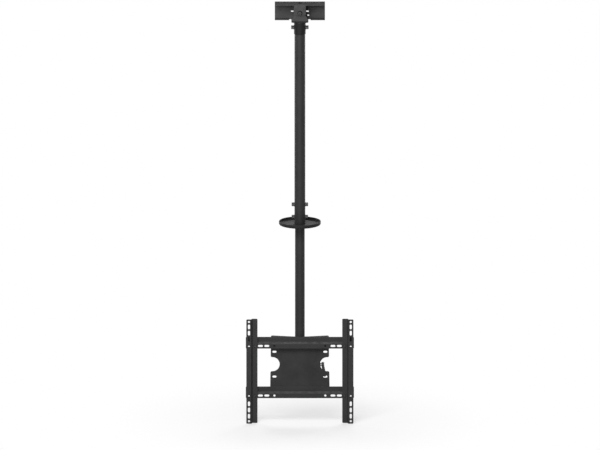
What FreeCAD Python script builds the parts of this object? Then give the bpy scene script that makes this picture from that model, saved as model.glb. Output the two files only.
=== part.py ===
import FreeCAD, Part
import os
import re
import Sketcher
from FreeCAD import Placement, Rotation, Vector

# Telescopic ceiling mount for a flat screen. Millimetres, +Z up. The origin is the
# middle of the face that lies on the ceiling, the pole hangs down the Z axis and the
# screen side looks towards -Y.
SIZES = {
    # ceiling bracket, a folded channel that is open towards the screen
    "ceiling_width": 197.0,
    "ceiling_depth": 64.0,
    "ceiling_gauge": 3.0,
    "ceiling_drop": 72.0,
    "ceiling_bend": 4.0,
    "lip_depth": 19.0,
    "lip_gap_half": 42.0,
    "ceiling_corner": 4.0,
    "ear_width": 47.0,
    "ear_drop": 44.0,
    "ear_corner": 9.0,
    "screw_slot_column": 72.0,
    "screw_slot_row": 13.0,
    "screw_slot_width": 8.0,
    "screw_slot_length": 22.0,
    "cable_slot_row": 6.0,
    "cable_slot_width": 13.0,
    "cable_slot_length": 28.0,
    "beam_slot_column": 30.0,
    "beam_slot_drop": 39.5,
    "beam_slot_width": 4.8,
    "beam_slot_length": 10.5,
    "side_slot_column": 33.0,
    "side_slot_drop": 55.5,
    "side_slot_length": 7.5,
    # sloped-ceiling hinge
    "pivot_drop": 33.0,
    "pivot_diameter": 10.0,
    "lock_radius": 17.0,
    "lock_diameter": 6.0,
    "lock_swing": 17.0,
    "hinge_gauge": 4.0,
    "hinge_bend": 6.0,
    "hinge_play": 0.5,
    "hinge_top_radius": 22.0,
    "hinge_waist_drop": 11.0,
    "hinge_foot": 8.0,
    "flange_width": 67.0,
    "flange_depth": 50.0,
    "flange_gauge": 4.0,
    "flange_drop": 70.0,
    "flange_corner": 10.0,
    "flange_bolt_diameter": 5.0,
    "flange_cable_hole": 24.0,
    # pole
    "sleeve_length": 50.0,
    "sleeve_wall": 1.6,
    "sleeve_chamfer": 1.2,
    "upper_tube_diameter": 42.4,
    "upper_tube_wall": 1.9,
    "upper_tube_top": 80.0,
    "upper_tube_end": 890.0,
    "lower_tube_diameter": 38.0,
    "lower_tube_wall": 2.0,
    "lower_tube_top": 700.0,
    "tube_play": 0.3,
    "guide_flange": 4.0,
    "guide_stem": 26.0,
    "clamp_diameter": 8.0,
    "weld_nut_height": 6.0,
    "sleeve_clamp_drop": 97.5,
    "clamp_end_gap": 28.5,
    "clamp_pitch": 50.0,
    # cover dish
    "dish_radius": 82.2,
    "dish_depth": 14.0,
    "dish_wall": 2.4,
    "dish_corner": 5.5,
    "dish_rim": 1.1,
    # tilt joint
    "tilt_drop": 1456.0,
    "tilt_diameter": 8.0,
    "cross_tube_diameter": 30.0,
    "cross_tube_wall": 3.0,
    "cross_tube_length": 132.0,
    "bush_depth": 14.0,
    "bush_flange": 1.2,
    "cheek_gauge": 3.0,
    "cheek_bend": 4.0,
    "cheek_radius": 16.0,
    "cheek_root_half": 36.0,
    "cheek_shoulder": 7.0,
    # screen head
    "plate_standoff": 26.0,
    "plate_gauge": 2.5,
    "plate_top_width": 227.0,
    "plate_flare": 3.5,
    "plate_height": 222.0,
    "plate_slot_offset": 23.0,
    "plate_slot_length": 16.0,
    "plate_slot_inset": 13.5,
    "plate_corner": 6.0,
    "side_hole_radius": 28.5,
    "side_hole_inset": 5.5,
    "plate_lip_depth": 22.0,
    "plate_lip_middle": 4.0,
    "plate_lip_flat": 26.0,
    "screen_drop": 1473.0,
    "vesa_small": 100.0,
    "vesa_middle": 200.0,
    "vesa_large": 400.0,
    "rail_gauge": 2.0,
    "rail_edge": 10.5,
    "rail_inner": 9.0,
    "rail_step_rise": 5.0,
    "rail_step_depth": 12.7,
    "rail_back_flange": 19.5,
    "rail_bend": 2.6,
    "rail_hole": 8.5,
    "rail_slot_length": 19.0,
    "rail_slot_offset": 180.0,
    "rail_slot_pitch": 25.0,
    "bar_end": 12.5,
    "arm_end": 10.0,
    "arm_screw_offset": 24.0,
    "arm_screw_diameter": 6.0,
    # clamping lever
    "lever_bush_length": 13.0,
    "lever_hub_length": 10.0,
    "lever_hub_diameter": 17.0,
    "lever_reach": 50.0,
    "lever_splay": 12.0,
    "lever_grip_half": 6.0,
    "lever_thickness": 11.0,
    "lever_edge": 2.5,
    # fasteners: how far a bolt stands out of its nut, and shares of a thread's diameter
    "bolt_end": 1.0,
    "flats_share": 1.65,
    "head_share": 0.65,
    "nut_share": 0.85,
    "washer_share": 2.0,
    "washer_gauge_share": 0.2,
    "button_share": 1.9,
    "button_top_share": 1.36,
    "button_height_share": 0.55,
    "key_share": 0.66,
    "key_depth_share": 0.36,
    "facing_angle": 30.0,
    "facing_share": 0.95,
    # fits between pieces
    "face_gap": 0.3,
    "pin_play": 0.08,
    "thread_play": 0.05,
    "screw_play": 0.4,
}

doc = FreeCAD.newDocument("ceiling_mount")
sheet = doc.addObject("Spreadsheet::Sheet", "Sizes")
for row, (size_name, size_value) in enumerate(SIZES.items(), start=1):
    sheet.set(f"A{row}", size_name.replace("_", " "))
    sheet.set(f"B{row}", str(size_value))
    sheet.setAlias(f"B{row}", size_name)
doc.recompute()

SUB_PARTS = {}


def bound(expression):
    """The expression with every size name pointed at its cell in the sheet."""
    def cell(match):
        word = match.group()
        return "Sizes." + word if word in SIZES else word
    return re.sub(r"[a-z][a-z_]*", cell, expression)


def number(expression):
    """What an expression comes to now, in millimetres or degrees."""
    value = sheet.evalExpression(expression)
    return float(getattr(value, "Value", value))


def keep(label, item):
    """Name a finished sub-part."""
    item.Label = label
    SUB_PARTS[label] = item
    return item


def place(item, x="0", y="0", z="0", turn=None):
    """Put an item at bound coordinates, turned first."""
    if turn is not None:
        item.Placement = Placement(Vector(), turn)
    for axis, expression in zip("xyz", (x, y, z)):
        item.setExpression(f"Placement.Base.{axis}", bound(expression))
    return item


ALONG_X = Rotation(Vector(0, 1, 0), 90)
ALONG_Y = Rotation(Vector(1, 0, 0), -90)
BACK_ALONG_X = Rotation(Vector(0, 1, 0), -90)
DOWN = Rotation(Vector(1, 0, 0), 180)


def new_body(label):
    return keep(label, doc.addObject("PartDesign::Body", label))


def sketch_on(body, plane, offset=None):
    """A sketch on one of the body's own planes, moved along that plane's normal."""
    sketch = body.newObject("Sketcher::SketchObject", body.Label + "_sketch")
    support = [item for item in body.Origin.OriginFeatures if item.Role == plane + "_Plane"]
    sketch.AttachmentSupport = [(support[0], "")]
    sketch.MapMode = "FlatFace"
    if offset is not None:
        sketch.setExpression("AttachmentOffset.Base.z", bound(offset))
    return sketch


def fix_point(sketch, geometry, corner, x, y):
    """Tie a point of a sketch to two bound coordinates."""
    for kind, expression in (("DistanceX", x), ("DistanceY", y)):
        fix(sketch, kind, (-1, 1, geometry, corner), expression)


def fix(sketch, kind, points, expression):
    rule = sketch.addConstraint(Sketcher.Constraint(kind, *points, number(expression)))
    sketch.setExpression(f"Constraints[{rule}]", bound(expression))


def outline(sketch, corners):
    """A closed outline. A corner is (x, y), or (x, y, centre x, centre y, turn) where the
    edge to the next corner is an arc, with turn 1 for anticlockwise and -1 for clockwise."""
    first = sketch.GeometryCount
    count = len(corners)
    spots = [Vector(number(corner[0]), number(corner[1]), 0) for corner in corners]
    for index, corner in enumerate(corners):
        start = spots[index]
        end = spots[(index + 1) % count]
        if len(corner) == 2:
            sketch.addGeometry(Part.LineSegment(start, end))
            continue
        centre = Vector(number(corner[2]), number(corner[3]), 0)
        circle = Part.Circle(centre, Vector(0, 0, 1), (start - centre).Length)
        ends = (start, end) if corner[4] > 0 else (end, start)
        sketch.addGeometry(Part.ArcOfCircle(circle, *[circle.parameter(spot) for spot in ends]))
    starts = [2 if len(corner) == 5 and corner[4] < 0 else 1 for corner in corners]
    for index in range(count):
        after = (index + 1) % count
        sketch.addConstraint(Sketcher.Constraint(
            "Coincident", first + index, 3 - starts[index], first + after, starts[after]))
    for index, corner in enumerate(corners):
        fix_point(sketch, first + index, starts[index], corner[0], corner[1])
        if len(corner) == 5:
            chord = spots[(index + 1) % count] - spots[index]
            flat = abs(chord.x) >= abs(chord.y)
            fix(sketch, "DistanceY" if flat else "DistanceX", (-1, 1, first + index, 3),
                corner[3] if flat else corner[2])


def rectangle(sketch, left, bottom, right, top):
    outline(sketch, [(left, bottom), (right, bottom), (right, top), (left, top)])


def round_hole(sketch, x, y, diameter):
    centre = Vector(number(x), number(y), 0)
    hole = sketch.addGeometry(Part.Circle(centre, Vector(0, 0, 1), number(diameter) / 2))
    fix_point(sketch, hole, 3, x, y)
    fix(sketch, "Radius", (hole,), f"({diameter}) / 2")


def slot(sketch, x, y, length, width, upright=False):
    """A slot with round ends, along the sketch's first axis or upright."""
    half = f"(({length}) - ({width})) / 2"
    side = f"({width}) / 2"
    if upright:
        outline(sketch, [
            (f"{x} + {side}", f"{y} - {half}"),
            (f"{x} + {side}", f"{y} + {half}", x, f"{y} + {half}", 1),
            (f"{x} - {side}", f"{y} + {half}"),
            (f"{x} - {side}", f"{y} - {half}", x, f"{y} - {half}", 1)])
        return
    outline(sketch, [
        (f"{x} - {half}", f"{y} - {side}"),
        (f"{x} + {half}", f"{y} - {side}", f"{x} + {half}", y, 1),
        (f"{x} + {half}", f"{y} + {side}"),
        (f"{x} - {half}", f"{y} + {side}", f"{x} - {half}", y, 1)])


def pad(body, sketch, length, side="One side", back=False):
    feature = body.newObject("PartDesign::Pad", body.Label + "_pad")
    feature.Profile = sketch
    feature.SideType = side
    feature.Reversed = back
    feature.setExpression("Length", bound(length))
    return feature


def pocket(body, sketch, length, side="Symmetric", back=False):
    doc.recompute()
    before = body.Shape.Volume
    feature = body.newObject("PartDesign::Pocket", body.Label + "_pocket")
    feature.Profile = sketch
    feature.SideType = side
    feature.Reversed = back
    feature.setExpression("Length", bound(length))
    doc.recompute()
    if not body.Shape.Volume < before:
        raise RuntimeError(f"{body.Label}: a pocket cuts nothing")
    return feature


def round_edges(body, radius, wanted, kind="Fillet"):
    """Round, or chamfer, the edges of a body that wanted(first end, last end) picks."""
    doc.recompute()
    base = body.Tip
    names = []
    for index, edge in enumerate(base.Shape.Edges, start=1):
        first = edge.valueAt(edge.FirstParameter)
        last = edge.valueAt(edge.LastParameter)
        if wanted(first, last):
            names.append(f"Edge{index}")
    feature = body.newObject("PartDesign::" + kind, body.Label + "_edges")
    feature.Base = (base, names)
    feature.setExpression("Size" if kind == "Chamfer" else "Radius", bound(radius))
    return feature


def near(value, expression):
    return abs(value - number(expression)) < 0.01


def primitive(kind, name, **sizes):
    item = doc.addObject("Part::" + kind, name)
    for size, expression in sizes.items():
        item.setExpression(size, bound(expression))
    return item


def cylinder(name, diameter, height):
    return primitive("Cylinder", name, Radius=f"({diameter}) / 2", Height=height)


def hexagon(name, flats, height):
    prism = primitive("Prism", name, Circumradius=f"({flats}) / 2 / cos(30)", Height=height)
    prism.Polygon = 6
    return prism


def cut(name, base, tool):
    item = doc.addObject("Part::Cut", name)
    item.Base = base
    item.Tool = tool
    return item


def faced_hexagon(name, flats, height, outer_first):
    """A hexagon with the corners of its outer face turned off."""
    face = f"({flats}) * facing_share / 2"
    root = f"{face} + ({height}) / tan(facing_angle)"
    ends = (face, root) if outer_first else (root, face)
    cone = primitive("Cone", name + "_turned", Radius1=ends[0], Radius2=ends[1], Height=height)
    item = doc.addObject("Part::Common", name)
    item.Base = hexagon(name + "_prism", flats, height)
    item.Tool = cone
    return item


def screw(name, diameter, shank):
    """A hexagon screw: the head stands on the origin, the shank runs along +Z."""
    head = f"{diameter} * head_share"
    top = faced_hexagon(name + "_head", f"{diameter} * flats_share", head, True)
    place(top, z=f"-({head})")
    item = doc.addObject("Part::Fuse", name)
    item.Base = top
    item.Tool = cylinder(name + "_shank", diameter, shank)
    return item


def button_screw(name, diameter, shank):
    """A low round screw with a hexagon socket, seated on the origin, its shank along +Z."""
    head = f"{diameter} * button_height_share"
    button = primitive("Cone", name + "_button", Radius1=f"{diameter} * button_top_share / 2",
                       Radius2=f"{diameter} * button_share / 2", Height=head)
    place(button, z=f"-({head})")
    key = hexagon(name + "_key", f"{diameter} * key_share", f"{diameter} * key_depth_share")
    place(key, z=f"-({head})")
    item = doc.addObject("Part::Fuse", name)
    item.Base = cut(name + "_head", button, key)
    item.Tool = cylinder(name + "_shank", diameter, shank)
    return item


def nut(name, diameter, height):
    """A hexagon nut that stands on the origin."""
    bore = cylinder(name + "_bore", f"{diameter} + 2 * thread_play", f"({height}) * 3")
    place(bore, z=f"-({height})")
    block = faced_hexagon(name + "_hexagon", f"{diameter} * flats_share", height, False)
    return cut(name, block, bore)


def washer(name, diameter):
    """A flat washer that stands on the origin."""
    thickness = f"{diameter} * washer_gauge_share"
    bore = cylinder(name + "_bore", f"{diameter} + 2 * thread_play", f"({thickness}) * 3")
    place(bore, z=f"-({thickness})")
    return cut(name, cylinder(name + "_disc", f"{diameter} * washer_share", thickness), bore)


def group(label, items):
    """Like pieces that share one node, each a solid of its own."""
    item = doc.addObject("Part::Compound", label)
    item.Links = items
    return keep(label, item)


# Sizes that follow from the driving ones.
PIVOT_NUT = "pivot_diameter * nut_share"
PIVOT_WASHER = "pivot_diameter * washer_gauge_share"
LOCK_NUT = "lock_diameter * nut_share"
LOCK_WASHER = "lock_diameter * washer_gauge_share"
FLANGE_NUT = "flange_bolt_diameter * nut_share"
ARM_NUT = "arm_screw_diameter * nut_share"
CEILING_FRONT = "-ceiling_depth / 2"
CEILING_BACK = "ceiling_depth / 2"
YOKE_DEPTH = "ceiling_depth - 2 * ceiling_gauge - 2 * hinge_play"
LOCK_DROP = "pivot_drop + lock_radius"
SLEEVE_BORE = "upper_tube_diameter + 2 * tube_play"
SLEEVE_DIAMETER = "upper_tube_diameter + 2 * tube_play + 2 * sleeve_wall"
FLANGE_FOOT = "flange_drop + flange_gauge"
FLANGE_BOLT_CORNER = "flange_bolt_diameter * flats_share / 2 / cos(30)"
FLANGE_BOLT_COLUMN = f"(({SLEEVE_DIAMETER}) / 2 + face_gap + {FLANGE_BOLT_CORNER})"


# Ceiling bracket: one folded sheet with a top plate, a rear wall, a bottom lip and a
# front ear. The lip is cut away where the hinge head swings.
def ceiling_bracket():
    body = new_body("ceiling_bracket")
    back = CEILING_BACK
    inside = f"{back} - ceiling_gauge"
    lip_edge = f"{back} - lip_depth"
    profile = sketch_on(body, "YZ")
    outline(profile, [
        (CEILING_FRONT, "0"), (CEILING_FRONT, "-ceiling_gauge"),
        (inside, "-ceiling_gauge"), (inside, "-ceiling_drop + ceiling_gauge"),
        (lip_edge, "-ceiling_drop + ceiling_gauge"), (lip_edge, "-ceiling_drop"),
        (back, "-ceiling_drop"), (back, "0")])
    pad(body, profile, "ceiling_width", side="Symmetric")

    def along(first, last, y, z):
        runs = abs(first.x - last.x) > 1
        return runs and near(first.y, y) and near(first.z, z) and near(last.z, z)

    round_edges(body, "ceiling_bend", lambda first, last:
                along(first, last, back, "0") or along(first, last, back, "-ceiling_drop"))
    round_edges(body, "ceiling_bend - ceiling_gauge", lambda first, last:
                along(first, last, inside, "-ceiling_gauge")
                or along(first, last, inside, "-ceiling_drop + ceiling_gauge"))

    def corner(first, last):
        upright = abs(first.z - last.z) > 1
        at_end = near(abs(first.x), "ceiling_width / 2")
        return upright and at_end and (near(first.y, CEILING_FRONT) or near(first.y, lip_edge))

    round_edges(body, "ceiling_corner", corner)
    ear = sketch_on(body, "XZ", "ceiling_depth / 2")
    half = "ear_width / 2"
    turn = f"{half} - ear_corner"
    above = "-(ear_drop - ear_corner)"
    outline(ear, [
        (f"-{half}", "-ceiling_gauge / 2"),
        (f"-{half}", above, f"-({turn})", above, 1),
        (f"-({turn})", "-ear_drop"),
        (turn, "-ear_drop", turn, above, 1),
        (half, above), (half, "-ceiling_gauge / 2")])
    pad(body, ear, "ceiling_gauge", back=True)
    top_holes = sketch_on(body, "XY")
    for side in ("-", ""):
        for row in ("-", ""):
            slot(top_holes, f"{side}screw_slot_column", f"{row}screw_slot_row",
                 "screw_slot_length", "screw_slot_width")
    slot(top_holes, "0", "cable_slot_row", "cable_slot_length", "cable_slot_width", upright=True)
    pocket(body, top_holes, "3 * ceiling_gauge")
    pivot = sketch_on(body, "XZ")
    round_hole(pivot, "0", "-pivot_drop", "pivot_diameter + 2 * thread_play")
    pocket(body, pivot, "ceiling_depth * 2")
    wall_holes = sketch_on(body, "XZ")
    for side in ("-", ""):
        slot(wall_holes, f"{side}beam_slot_column", "-beam_slot_drop",
             "beam_slot_length", "beam_slot_width")
    slot(wall_holes, "side_slot_column", "-side_slot_drop", "side_slot_length", "beam_slot_width")
    arc_slot(wall_holes)
    pocket(body, wall_holes, "ceiling_depth", side="One side")
    gap = sketch_on(body, "XY", "-ceiling_drop")
    rectangle(gap, "-lip_gap_half", CEILING_FRONT, "lip_gap_half", inside)
    pocket(body, gap, "2 * ceiling_bend")


def arc_slot(sketch):
    """The slot for the angle lock, an arc about the pivot."""
    side = "(lock_diameter / 2 + screw_play)"
    middle = "-pivot_drop"

    def at(radius, angle):
        return (f"({radius}) * sin({angle})", f"{middle} - ({radius}) * cos({angle})")

    outer = f"lock_radius + {side}"
    inner = f"lock_radius - {side}"
    left = "-lock_swing"
    right = "lock_swing"
    outline(sketch, [
        (*at(outer, left), "0", middle, 1),
        (*at(outer, right), *at("lock_radius", right), 1),
        (*at(inner, right), "0", middle, -1),
        (*at(inner, left), *at("lock_radius", left), 1)])


# Pivot bolt along Y through the ear and the rear wall, with its nut and washers.
def pivot_set():
    shank = f"ceiling_depth + 2 * {PIVOT_WASHER} + {PIVOT_NUT} + bolt_end"
    bolt = button_screw("pivot_bolt", "pivot_diameter", shank)
    place(bolt, y=f"{CEILING_FRONT} - {PIVOT_WASHER}", z="-pivot_drop", turn=ALONG_Y)
    keep("pivot_bolt", bolt)
    piece = nut("pivot_nut", "pivot_diameter", PIVOT_NUT)
    place(piece, y=f"{CEILING_BACK} + {PIVOT_WASHER}", z="-pivot_drop", turn=ALONG_Y)
    keep("pivot_nut", piece)
    washers = []
    for name, y in (("front", f"{CEILING_FRONT} - {PIVOT_WASHER}"), ("rear", CEILING_BACK)):
        ring = washer("pivot_washer_" + name, "pivot_diameter")
        washers.append(place(ring, y=y, z="-pivot_drop", turn=ALONG_Y))
    group("pivot_washers", washers)


# Hinge head: a folded yoke, two cheeks that hang on the pivot bolt and a base plate.
def hinge_head():
    body = new_body("hinge_head")
    top = "hinge_top_radius"
    foot = "flange_width / 2"
    waist = "-(pivot_drop + hinge_waist_drop)"
    shoulder = "-(flange_drop - hinge_foot)"
    form = sketch_on(body, "XZ")
    outline(form, [
        (f"-{foot}", "-flange_drop"), (foot, "-flange_drop"), (foot, shoulder),
        (top, waist), (top, "-pivot_drop", "0", "-pivot_drop", 1),
        (f"-{top}", "-pivot_drop"), (f"-{top}", waist), (f"-{foot}", shoulder)])
    pad(body, form, YOKE_DEPTH, side="Symmetric")
    hollow = sketch_on(body, "YZ")
    wall = f"({YOKE_DEPTH}) / 2 - hinge_gauge"
    rectangle(hollow, f"-({wall})", "-flange_drop + hinge_gauge", wall, "0")
    pocket(body, hollow, "flange_width * 2")

    def fold(y, z):
        return lambda first, last: (abs(first.x - last.x) > 1 and near(abs(first.y), y)
                                    and near(first.z, z) and near(last.z, z))

    round_edges(body, "hinge_bend", fold(f"({YOKE_DEPTH}) / 2", "-flange_drop"))
    round_edges(body, "hinge_bend - hinge_gauge", fold(wall, "-flange_drop + hinge_gauge"))
    pivot = sketch_on(body, "XZ")
    round_hole(pivot, "0", "-pivot_drop", "pivot_diameter + 2 * pin_play")
    pocket(body, pivot, "ceiling_depth * 2")
    lock = sketch_on(body, "XZ")
    round_hole(lock, "0", f"-({LOCK_DROP})", "lock_diameter + 2 * thread_play")
    pocket(body, lock, "ceiling_depth", side="One side")
    base_holes = sketch_on(body, "XY", "-flange_drop")
    flange_holes(base_holes)
    pocket(body, base_holes, "4 * hinge_gauge")


def flange_holes(sketch):
    """Two bolt holes and the way for the cables, the same in base plate and flange."""
    for side in ("-", ""):
        round_hole(sketch, f"{side}{FLANGE_BOLT_COLUMN}", "0",
                   "flange_bolt_diameter + 2 * thread_play")
    round_hole(sketch, "0", "0", "flange_cable_hole")


# Angle lock: a bolt from inside the rear cheek, out through the arc slot.
def angle_lock():
    inside = f"({YOKE_DEPTH}) / 2 - hinge_gauge"
    outside = f"{CEILING_BACK} + face_gap"
    shank = f"({outside}) - ({inside}) + {LOCK_WASHER} + {LOCK_NUT} + bolt_end"
    bolt = screw("angle_lock_bolt", "lock_diameter", shank)
    place(bolt, y=inside, z=f"-({LOCK_DROP})", turn=ALONG_Y)
    keep("angle_lock_bolt", bolt)
    ring = washer("angle_lock_washer", "lock_diameter")
    place(ring, y=outside, z=f"-({LOCK_DROP})", turn=ALONG_Y)
    piece = nut("angle_lock_hexagon", "lock_diameter", LOCK_NUT)
    place(piece, y=f"{outside} + {LOCK_WASHER}", z=f"-({LOCK_DROP})", turn=ALONG_Y)
    group("angle_lock_nut", [ring, piece])


# Pole socket: a flange plate with a sleeve welded under it, bolted to the hinge head.
def pole_socket():
    body = new_body("pole_socket")
    plate = sketch_on(body, "XY", "-flange_drop")
    rounded_plate(plate, "flange_width / 2", "flange_depth / 2", "flange_corner")
    flange_holes(plate)
    pad(body, plate, "flange_gauge", back=True)
    ring = sketch_on(body, "XY", f"-({FLANGE_FOOT})")
    round_hole(ring, "0", "0", SLEEVE_DIAMETER)
    round_hole(ring, "0", "0", SLEEVE_BORE)
    pad(body, ring, "sleeve_length", back=True)
    end = f"-({FLANGE_FOOT} + sleeve_length)"
    rim = f"({SLEEVE_DIAMETER}) / 2"
    round_edges(body, "sleeve_chamfer", lambda first, last:
                near(first.z, end) and near(last.z, end)
                and near(Vector(first.x, first.y, 0).Length, rim), kind="Chamfer")
    holes = sketch_on(body, "YZ")
    round_hole(holes, "0", "-sleeve_clamp_drop", "clamp_diameter + 2 * thread_play")
    pocket(body, holes, f"({SLEEVE_DIAMETER}) * 2")


def rounded_plate(sketch, half_x, half_y, corner):
    near_x = f"({half_x} - {corner})"
    near_y = f"({half_y} - {corner})"
    outline(sketch, [
        (f"-{near_x}", f"-{half_y}"),
        (near_x, f"-{half_y}", near_x, f"-{near_y}", 1),
        (half_x, f"-{near_y}"),
        (half_x, near_y, near_x, near_y, 1),
        (near_x, half_y),
        (f"-{near_x}", half_y, f"-{near_x}", near_y, 1),
        (f"-{half_x}", near_y),
        (f"-{half_x}", f"-{near_y}", f"-{near_x}", f"-{near_y}", 1)])


# Flange bolts with their heads under the flange and nuts on the base plate.
def flange_bolts():
    bolts = []
    nuts = []
    shank = f"hinge_gauge + flange_gauge + {FLANGE_NUT} + bolt_end"
    for name, side in (("left", "-"), ("right", "")):
        column = f"{side}{FLANGE_BOLT_COLUMN}"
        bolt = screw("flange_bolt_" + name, "flange_bolt_diameter", shank)
        bolts.append(place(bolt, x=column, z=f"-({FLANGE_FOOT})"))
        piece = nut("flange_nut_" + name, "flange_bolt_diameter", FLANGE_NUT)
        nuts.append(place(piece, x=column, z="-flange_drop + hinge_gauge"))
    group("flange_bolts", bolts)
    group("flange_nuts", nuts)


def clamp_set(prefix, tube, seat, drops):
    """Weld nuts on both sides of a tube and clamp screws through them onto the tube inside."""
    nuts = []
    screws = []
    for level, drop in drops.items():
        for name, turn, sign in (("left", BACK_ALONG_X, "-"), ("right", ALONG_X, "")):
            tag = f"{prefix}_{level}_{name}"
            reach = f"({tube}) / 2 + weld_nut_height"
            block = nut(tag + "_nut", "clamp_diameter", reach)
            place(block, z=f"-({drop})", turn=turn)
            core = cylinder(tag + "_core", tube, "2 * clamp_diameter * flats_share")
            place(core, z=f"-({drop}) - clamp_diameter * flats_share")
            nuts.append(cut(tag + "_weld_nut", block, core))
            shank = f"{reach} - ({seat}) / 2 - face_gap"
            piece = screw(tag + "_screw", "clamp_diameter", shank)
            inward = ALONG_X if sign == "-" else BACK_ALONG_X
            screws.append(place(piece, x=f"{sign}({reach})", z=f"-({drop})", turn=inward))
    group(prefix + "_weld_nuts", nuts)
    group(prefix + "_clamp_screws", screws)


TUBE_CLAMPS = {
    "upper": "upper_tube_end - clamp_end_gap - clamp_pitch",
    "lower": "upper_tube_end - clamp_end_gap",
}


# Upper tube: turns in the sleeve, and holds the lower tube with four clamp screws.
def upper_tube():
    body = new_body("upper_tube")
    ring = sketch_on(body, "XY", "-upper_tube_top")
    round_hole(ring, "0", "0", "upper_tube_diameter")
    round_hole(ring, "0", "0", "upper_tube_diameter - 2 * upper_tube_wall")
    pad(body, ring, "upper_tube_end - upper_tube_top", back=True)
    holes = sketch_on(body, "YZ")
    for drop in TUBE_CLAMPS.values():
        round_hole(holes, "0", f"-({drop})", "clamp_diameter + 2 * thread_play")
    pocket(body, holes, "upper_tube_diameter * 2")


# Cover dish: a shallow spun pan, open upwards, that slides on the lower tube and hides the
# opening in a false ceiling.
def cover_dish():
    body = new_body("cover_dish")
    bore = "lower_tube_diameter / 2 + tube_play"
    turn = "dish_radius - dish_corner"
    inside = "dish_radius - dish_wall"
    profile = sketch_on(body, "XZ")
    outline(profile, [
        (bore, "0"),
        (turn, "0", turn, "dish_corner", 1),
        ("dish_radius", "dish_corner"), ("dish_radius", "dish_depth"),
        (inside, "dish_depth"),
        (inside, "dish_corner", turn, "dish_corner", -1),
        (turn, "dish_wall"), (bore, "dish_wall")])
    turned = body.newObject("PartDesign::Revolution", "cover_dish_spin")
    turned.Profile = profile
    turned.ReferenceAxis = (profile, ["V_Axis"])
    round_edges(body, "dish_rim", lambda first, last:
                near(first.z, "dish_depth") and near(last.z, "dish_depth"))
    place(body, z="-upper_tube_end - face_gap - dish_wall")


# Lower tube: slides in the upper tube. Its foot is coped round the cross tube.
def lower_tube():
    body = new_body("lower_tube")
    ring = sketch_on(body, "XY", "-lower_tube_top")
    round_hole(ring, "0", "0", "lower_tube_diameter")
    round_hole(ring, "0", "0", "lower_tube_diameter - 2 * lower_tube_wall")
    pad(body, ring, "tilt_drop - lower_tube_top", back=True)
    cope = sketch_on(body, "YZ")
    round_hole(cope, "0", "-tilt_drop", "cross_tube_diameter")
    pocket(body, cope, "lower_tube_diameter * 2")


# Guide plug: a moulded plug in the top of the lower tube that runs in the upper tube.
def guide_plug():
    body = new_body("guide_plug")
    bore = "lower_tube_diameter / 2 - lower_tube_wall"
    way = f"{bore} - 2 * lower_tube_wall"
    profile = sketch_on(body, "XZ")
    outline(profile, [
        (way, "-guide_stem"), (bore, "-guide_stem"), (bore, "0"),
        ("lower_tube_diameter / 2", "0"), ("lower_tube_diameter / 2", "guide_flange"),
        (way, "guide_flange")])
    turned = body.newObject("PartDesign::Revolution", "guide_plug_spin")
    turned.Profile = profile
    turned.ReferenceAxis = (profile, ["V_Axis"])
    place(body, z="-lower_tube_top")


# Cross tube: the tilt bearing, welded across the foot of the lower tube, with a flanged
# plastic bush in each end.
def cross_tube():
    body = new_body("cross_tube")
    ring = sketch_on(body, "YZ")
    round_hole(ring, "0", "0", "cross_tube_diameter")
    round_hole(ring, "0", "0", "cross_tube_diameter - 2 * cross_tube_wall")
    pad(body, ring, "cross_tube_length", side="Symmetric")
    place(body, z="-tilt_drop")


def tilt_bushes():
    bore = "tilt_diameter + 2 * pin_play"
    bushes = []
    for name, turn, sign in (("left", BACK_ALONG_X, "-"), ("right", ALONG_X, "")):
        stem = cylinder(f"bush_{name}_stem", "cross_tube_diameter - 2 * cross_tube_wall",
                        "bush_depth + bush_flange")
        place(stem, z="-bush_depth")
        collar = cylinder(f"bush_{name}_collar", "cross_tube_diameter", "bush_flange")
        form = doc.addObject("Part::Fuse", f"bush_{name}_form")
        form.Base = stem
        form.Tool = collar
        way = cylinder(f"bush_{name}_bore", bore, "bush_depth * 4")
        place(way, z="-bush_depth * 2")
        bush = cut("bush_" + name, form, way)
        bushes.append(place(bush, x=f"{sign}cross_tube_length / 2", z="-tilt_drop", turn=turn))
    group("tilt_bushes", bushes)


CHEEK_INSIDE = "cross_tube_length / 2 + bush_flange + face_gap"
CHEEK_OUTSIDE = f"{CHEEK_INSIDE} + cheek_gauge"
TILT_WASHER = "tilt_diameter * washer_gauge_share"


# Tilt bracket: a folded U behind the centre plate, with two cheeks on the tilt bolt.
def tilt_bracket():
    body = new_body("tilt_bracket")
    root = "-plate_standoff"
    side = sketch_on(body, "YZ")
    outline(side, [
        (root, "-cheek_root_half"), (f"{root} + cheek_shoulder", "-cheek_root_half"),
        ("0", "-cheek_radius", "0", "0", 1),
        ("0", "cheek_radius"), (f"{root} + cheek_shoulder", "cheek_root_half"),
        (root, "cheek_root_half")])
    pad(body, side, f"2 * ({CHEEK_OUTSIDE})", side="Symmetric")
    hollow = sketch_on(body, "XY")
    rectangle(hollow, f"-({CHEEK_INSIDE})", f"{root} + cheek_gauge", CHEEK_INSIDE,
              "cheek_radius * 2")
    pocket(body, hollow, "cheek_root_half * 4")

    def fold(x, y):
        return lambda first, last: (abs(first.z - last.z) > 1 and near(abs(first.x), x)
                                    and near(first.y, y) and near(last.y, y))

    round_edges(body, "cheek_bend", fold(CHEEK_OUTSIDE, root))
    round_edges(body, "cheek_bend - cheek_gauge", fold(CHEEK_INSIDE, f"{root} + cheek_gauge"))
    holes = sketch_on(body, "YZ")
    round_hole(holes, "0", "0", "tilt_diameter + 2 * thread_play")
    pocket(body, holes, f"4 * ({CHEEK_OUTSIDE})")
    place(body, z="-tilt_drop")


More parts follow.
